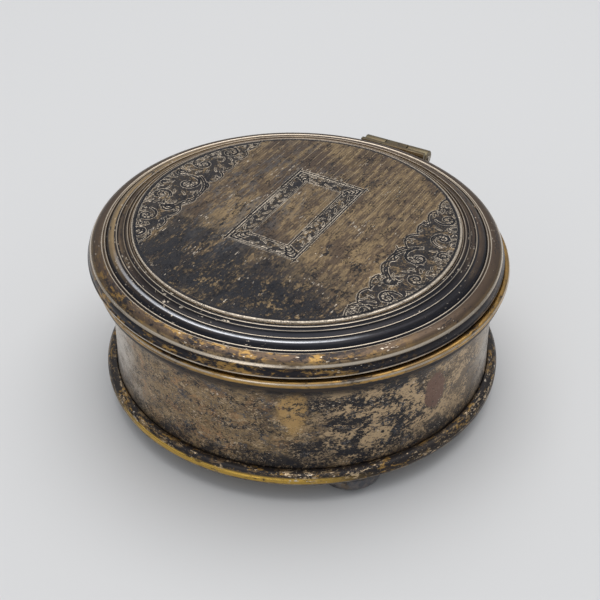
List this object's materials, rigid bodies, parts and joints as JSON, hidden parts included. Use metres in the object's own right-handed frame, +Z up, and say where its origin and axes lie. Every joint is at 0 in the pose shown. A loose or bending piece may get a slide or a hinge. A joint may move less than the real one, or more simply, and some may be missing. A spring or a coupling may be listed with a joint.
{
  "type": "hinged pill box",
  "caption": "Round hinged silver-plated box with a stepped, engraved lid, a gilt liner and bun feet, for pills or small trinkets.",
  "frame": {"origin": "on the box's round axis, in the plane that the four feet stand on", "axes": "+Z up, +Y towards the hinge at the back, +X to the right seen from the front"},
  "size_m": [0.0819, 0.0844, 0.0363],
  "materials": {
    "wall_plate": "silver plate, dulled and blotched with dark tarnish",
    "body_moulding_plate": "silver plate rubbed to a golden brown, bright on its crest",
    "base_moulding_plate": "silver plate with gold-brown specks and dark hollows",
    "foot_plate": "grey silver plate",
    "gilt": "worn gilt wash",
    "hinge_brass": "olive-brown tarnish",
    "hinge_pin_steel": "dull wire",
    "lid_moulding_plate": "silver plate with purple-brown tarnish and a bright crest",
    "lid_step_plate": "silver plate with dark tarnish between bright reeds",
    "lid_panel_plate": "engraved silver plate, brown with near-black patches"
  },
  "bodies": {
    "box": {"body_wall": "wall_plate", "mouth_moulding": "body_moulding_plate", "base_moulding": "base_moulding_plate", "bottom_plate": "gilt", "gilt_liner": "gilt", "foot_front_right": "foot_plate", "foot_back_right": "foot_plate", "foot_back_left": "foot_plate", "foot_front_left": "foot_plate", "body_hinge_leaf": "hinge_brass", "hinge_pin": "hinge_pin_steel"},
    "lid": {"lid_rim": "lid_moulding_plate", "lid_stepped_moulding": "lid_step_plate", "lid_panel": "lid_panel_plate", "lid_hinge_leaf": "hinge_brass"}
  },
  "joints": [
    {"name": "lid_hinge", "type": "hinge", "parent": "box", "child": "lid", "pos_m": [0, 0.04215, 0.0307], "axis": [-1, 0, 0], "range_deg": [0, 100]}
  ]
}
